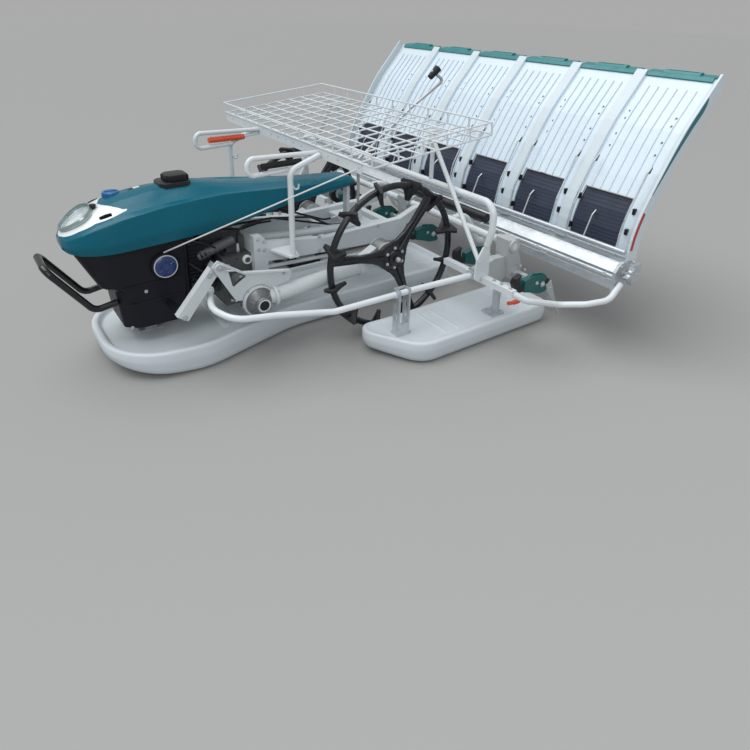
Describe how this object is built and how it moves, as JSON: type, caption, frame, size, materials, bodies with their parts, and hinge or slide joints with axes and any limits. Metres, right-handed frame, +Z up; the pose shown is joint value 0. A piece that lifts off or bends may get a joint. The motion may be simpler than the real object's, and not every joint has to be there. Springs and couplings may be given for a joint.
{
  "type": "rice transplanter",
  "caption": "Walk-behind rice transplanter with a teal hood, white floats, lugged wheels on swing cases, a wire seedling rack and a wide leaning seedling tray.",
  "frame": {"origin": "on the ground, on the centreline, at the middle of the machine's length", "axes": "+X forward to the engine end, +Y to the machine's left, +Z up"},
  "size_m": [2.3966, 1.956, 0.9506],
  "materials": {
    "hood": "glossy",
    "hood_cap": "matte",
    "lamp_lens": "clear",
    "lamp_bezel": "glossy",
    "engine_shroud": "satin",
    "engine_block": "cast",
    "recoil_cover": "glossy",
    "bumper": "glossy",
    "gearbox": "cast",
    "main_frame": "glossy",
    "front_stays": "glossy",
    "float_centre": "satin",
    "float_left": "satin",
    "float_right": "satin",
    "float_brackets": "galvanised",
    "side_guard_left": "glossy",
    "side_guard_right": "glossy",
    "planting_beams": "glossy",
    "planting_cases": "glossy",
    "planting_arms": "glossy",
    "arm_covers": "matte",
    "planting_claws": "satin",
    "guide_rail": "galvanised",
    "rail_ends": "galvanised",
    "arch_tube": "glossy",
    "rack_supports": "glossy",
    "rack_basket": "glossy",
    "hand_loops": "glossy",
    "black_grips": "matte",
    "orange_grip": "matte",
    "shift_lever": "plated",
    "handlebars": "glossy",
    "starter_rope": "matte",
    "control_cables": "matte",
    "swing_case_left": "glossy",
    "swing_case_right": "glossy",
    "wheel_left": "satin",
    "wheel_right": "satin",
    "lugs_left": "matte",
    "lugs_right": "matte",
    "tray_panel": "satin",
    "tray_sides": "satin",
    "tray_caps": "satin",
    "feed_belts": "matte",
    "mat_rods": "plated"
  },
  "bodies": {
    "machine": {"hood": "hood", "hood_cap": "hood_cap", "lamp_lens": "lamp_lens", "lamp_bezel": "lamp_bezel", "engine_shroud": "engine_shroud", "engine_block": "engine_block", "recoil_cover": "recoil_cover", "bumper": "bumper", "gearbox": "gearbox", "main_frame": "main_frame", "front_stays": "front_stays", "float_centre": "float_centre", "float_left": "float_left", "float_right": "float_right", "float_brackets": "float_brackets", "side_guard_left": "side_guard_left", "side_guard_right": "side_guard_right", "planting_beams": "planting_beams", "planting_cases": "planting_cases", "planting_arms": "planting_arms", "arm_covers": "arm_covers", "planting_claws": "planting_claws", "guide_rail": "guide_rail", "rail_ends": "rail_ends", "arch_tube": "arch_tube", "rack_supports": "rack_supports", "rack_basket": "rack_basket", "hand_loops": "hand_loops", "black_grips": "black_grips", "orange_grip": "orange_grip", "shift_lever": "shift_lever", "handlebars": "handlebars", "starter_rope": "starter_rope", "control_cables": "control_cables"},
    "swing_left": {"swing_case_left": "swing_case_left"},
    "swing_right": {"swing_case_right": "swing_case_right"},
    "wheel_left": {"wheel_left": "wheel_left", "lugs_left": "lugs_left"},
    "wheel_right": {"wheel_right": "wheel_right", "lugs_right": "lugs_right"},
    "tray": {"tray_panel": "tray_panel", "tray_sides": "tray_sides", "tray_caps": "tray_caps", "feed_belts": "feed_belts", "mat_rods": "mat_rods"}
  },
  "joints": [
    {"name": "swing_left", "type": "hinge", "parent": "machine", "child": "swing_left", "pos_m": [0.587, 0.268, 0.214], "axis": [0, 1, 0], "range_deg": [-28, 0]},
    {"name": "swing_right", "type": "hinge", "parent": "machine", "child": "swing_right", "pos_m": [0.587, -0.268, 0.214], "axis": [0, 1, 0], "range_deg": [-28, 0]},
    {"name": "wheel_left_spin", "type": "hinge", "parent": "swing_left", "child": "wheel_left", "pos_m": [0.075, 0.342, 0.29], "axis": [0, 1, 0], "continuous": true},
    {"name": "wheel_right_spin", "type": "hinge", "parent": "swing_right", "child": "wheel_right", "pos_m": [0.075, -0.342, 0.29], "axis": [0, 1, 0], "continuous": true},
    {"name": "tray_traverse", "type": "slide", "parent": "machine", "child": "tray", "axis": [0, 1, 0], "range_m": [-0.14, 0.14]}
  ]
}
